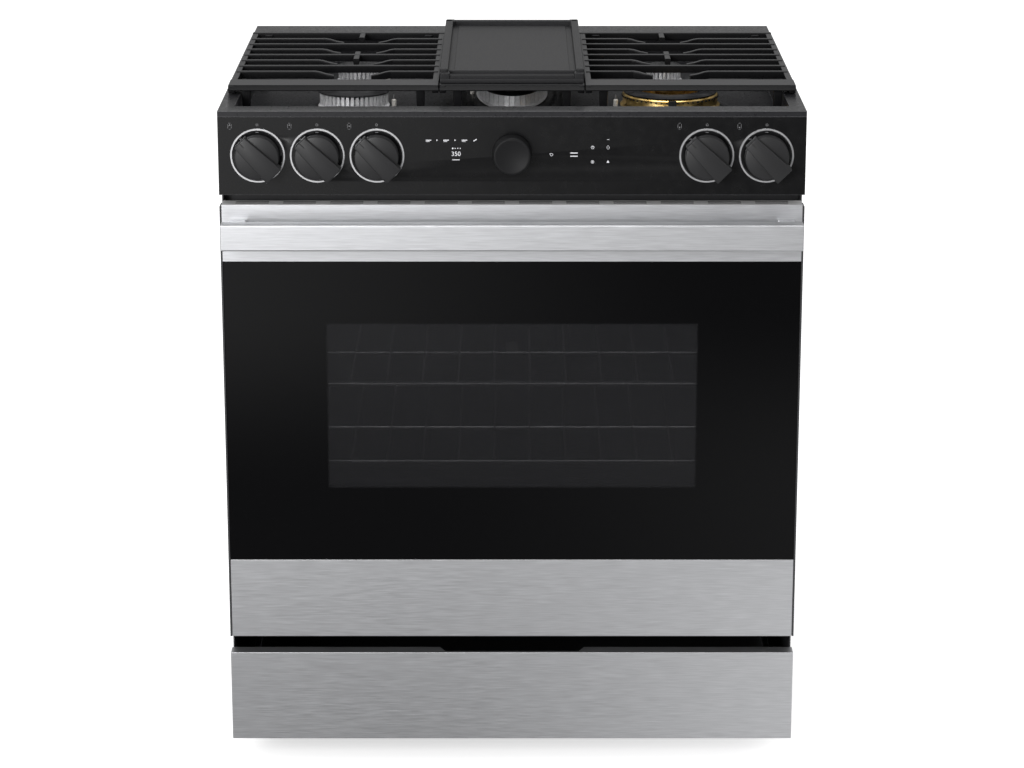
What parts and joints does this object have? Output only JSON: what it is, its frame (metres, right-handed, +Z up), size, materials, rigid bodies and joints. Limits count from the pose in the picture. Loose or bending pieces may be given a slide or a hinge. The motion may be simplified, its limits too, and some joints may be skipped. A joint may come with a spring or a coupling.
{
  "type": "freestanding gas range",
  "caption": "Freestanding gas range with a flush cooktop, front control panel with knobs, oven with a drop-down glass door, and a storage drawer.",
  "frame": {"origin": "on the floor, under the middle of the whole range", "axes": "+X to the right of someone facing the range, +Y towards the wall, +Z up"},
  "size_m": [0.759, 0.721, 0.936],
  "materials": {
    "brushed_steel": "fine horizontal brush",
    "black_enamel": "gloss porcelain enamel",
    "panel_black": "gloss",
    "black_glass": "gloss, dark tint",
    "window_glass": "gloss, light tint",
    "cast_iron": "matte cast, fine pitting",
    "knob_black": "satin",
    "oven_enamel": "speckled enamel",
    "body_paint": "satin paint",
    "chrome_wire": "polished wire",
    "burner_alloy": "cast, satin",
    "burner_brass": "satin",
    "gasket_fibre": "woven fibre",
    "plated_steel": "dull plated"
  },
  "bodies": {
    "range_body": {"side_panel_left": "body_paint", "side_panel_right": "body_paint", "back_panel": "plated_steel", "base_frame": "plated_steel", "levelling_foot_front_left": "plated_steel", "levelling_foot_front_right": "plated_steel", "levelling_foot_rear_left": "plated_steel", "levelling_foot_rear_right": "plated_steel", "front_frame": "body_paint", "door_gasket": "gasket_fibre", "hinge_arm_left": "plated_steel", "hinge_arm_right": "plated_steel", "oven_cavity": "oven_enamel", "bake_burner": "plated_steel", "broil_burner": "plated_steel", "convection_cover": "oven_enamel", "fan_motor": "plated_steel", "cooktop": "black_enamel", "rear_trim": "black_enamel", "burner_head_left_front": "burner_alloy", "burner_cap_left_front": "black_enamel", "burner_head_left_rear": "burner_alloy", "burner_cap_left_rear": "black_enamel", "burner_head_centre": "burner_alloy", "burner_cap_centre": "black_enamel", "burner_head_right_rear": "burner_alloy", "burner_cap_right_rear": "black_enamel", "burner_head_right_front": "burner_brass", "burner_cap_right_front": "black_enamel", "control_panel": "panel_black", "gas_manifold": "plated_steel"},
    "door": {"door_shell": "body_paint", "door_liner": "oven_enamel", "door_outer_glass": "black_glass", "door_inner_glass": "window_glass", "door_top_trim": "brushed_steel", "door_lower_panel": "brushed_steel", "door_handle": "brushed_steel", "handle_post_left": "brushed_steel", "handle_post_right": "brushed_steel"},
    "drawer": {"drawer_front": "brushed_steel", "drawer_box": "body_paint"},
    "rack_upper": {"oven_rack_upper": "chrome_wire"},
    "rack_lower": {"oven_rack_lower": "chrome_wire"},
    "fan": {"convection_fan": "plated_steel"},
    "dial": {"oven_dial": "knob_black"},
    "grate_left_body": {"grate_left": "cast_iron"},
    "grate_centre_body": {"grate_centre": "cast_iron"},
    "grate_right_body": {"grate_right": "cast_iron"},
    "griddle_body": {"griddle": "cast_iron"},
    "stem_left_front": {"valve_stem_left_front": "plated_steel"},
    "knob_left_front_body": {"knob_left_front": "knob_black"},
    "stem_left_rear": {"valve_stem_left_rear": "plated_steel"},
    "knob_left_rear_body": {"knob_left_rear": "knob_black"},
    "stem_centre": {"valve_stem_centre": "plated_steel"},
    "knob_centre_body": {"knob_centre": "knob_black"},
    "stem_right_rear": {"valve_stem_right_rear": "plated_steel"},
    "knob_right_rear_body": {"knob_right_rear": "knob_black"},
    "stem_right_front": {"valve_stem_right_front": "plated_steel"},
    "knob_right_front_body": {"knob_right_front": "knob_black"}
  },
  "joints": [
    {"name": "door_hinge", "type": "hinge", "parent": "range_body", "child": "door", "pos_m": [0, -0.283, 0.1925], "axis": [1, 0, 0], "range_deg": [0, 90], "stiffness_Nm_per_rad": 20, "springref_deg": -11.46},
    {"name": "drawer_slide", "type": "slide", "parent": "range_body", "child": "drawer", "axis": [0, -1, 0], "range_m": [0, 0.4]},
    {"name": "rack_upper_slide", "type": "slide", "parent": "range_body", "child": "rack_upper", "axis": [0, -1, 0], "range_m": [0, 0.3]},
    {"name": "rack_lower_slide", "type": "slide", "parent": "range_body", "child": "rack_lower", "axis": [0, -1, 0], "range_m": [0, 0.3]},
    {"name": "fan_spin", "type": "hinge", "parent": "range_body", "child": "fan", "pos_m": [0, 0.2325, 0.445], "axis": [0, -1, 0], "continuous": true},
    {"name": "dial_turn", "type": "hinge", "parent": "range_body", "child": "dial", "pos_m": [0, -0.3075, 0.851], "axis": [0, -1, 0], "continuous": true},
    {"name": "grate_left_lift", "type": "slide", "parent": "range_body", "child": "grate_left_body", "axis": [0, 0, 1], "range_m": [0, 0.15]},
    {"name": "grate_centre_lift", "type": "slide", "parent": "range_body", "child": "grate_centre_body", "axis": [0, 0, 1], "range_m": [0, 0.15]},
    {"name": "grate_right_lift", "type": "slide", "parent": "range_body", "child": "grate_right_body", "axis": [0, 0, 1], "range_m": [0, 0.15]},
    {"name": "griddle_lift", "type": "slide", "parent": "grate_centre_body", "child": "griddle_body", "axis": [0, 0, 1], "range_m": [0, 0.1]},
    {"name": "knob_left_front_push", "type": "slide", "parent": "range_body", "child": "stem_left_front", "axis": [0, 1, 0], "range_m": [0, 0.003], "stiffness_N_per_m": 800, "springref_m": -0.002},
    {"name": "knob_left_front_turn", "type": "hinge", "parent": "stem_left_front", "child": "knob_left_front_body", "pos_m": [-0.3283, -0.3075, 0.848], "axis": [0, -1, 0], "range_deg": [-45, 180]},
    {"name": "knob_left_rear_push", "type": "slide", "parent": "range_body", "child": "stem_left_rear", "axis": [0, 1, 0], "range_m": [0, 0.003], "stiffness_N_per_m": 800, "springref_m": -0.002},
    {"name": "knob_left_rear_turn", "type": "hinge", "parent": "stem_left_rear", "child": "knob_left_rear_body", "pos_m": [-0.2513, -0.3075, 0.848], "axis": [0, -1, 0], "range_deg": [-45, 180]},
    {"name": "knob_centre_push", "type": "slide", "parent": "range_body", "child": "stem_centre", "axis": [0, 1, 0], "range_m": [0, 0.003], "stiffness_N_per_m": 800, "springref_m": -0.002},
    {"name": "knob_centre_turn", "type": "hinge", "parent": "stem_centre", "child": "knob_centre_body", "pos_m": [-0.1743, -0.3075, 0.848], "axis": [0, -1, 0], "range_deg": [-45, 180]},
    {"name": "knob_right_rear_push", "type": "slide", "parent": "range_body", "child": "stem_right_rear", "axis": [0, 1, 0], "range_m": [0, 0.003], "stiffness_N_per_m": 800, "springref_m": -0.002},
    {"name": "knob_right_rear_turn", "type": "hinge", "parent": "stem_right_rear", "child": "knob_right_rear_body", "pos_m": [0.2513, -0.3075, 0.848], "axis": [0, -1, 0], "range_deg": [-45, 180]},
    {"name": "knob_right_front_push", "type": "slide", "parent": "range_body", "child": "stem_right_front", "axis": [0, 1, 0], "range_m": [0, 0.003], "stiffness_N_per_m": 800, "springref_m": -0.002},
    {"name": "knob_right_front_turn", "type": "hinge", "parent": "stem_right_front", "child": "knob_right_front_body", "pos_m": [0.3283, -0.3075, 0.848], "axis": [0, -1, 0], "range_deg": [-45, 180]}
  ],
  "couplings": [
    {"joint": "rack_upper_slide", "follows": "door_hinge", "m_per_rad": 0.19},
    {"joint": "rack_lower_slide", "follows": "door_hinge", "m_per_rad": 0.19}
  ]
}
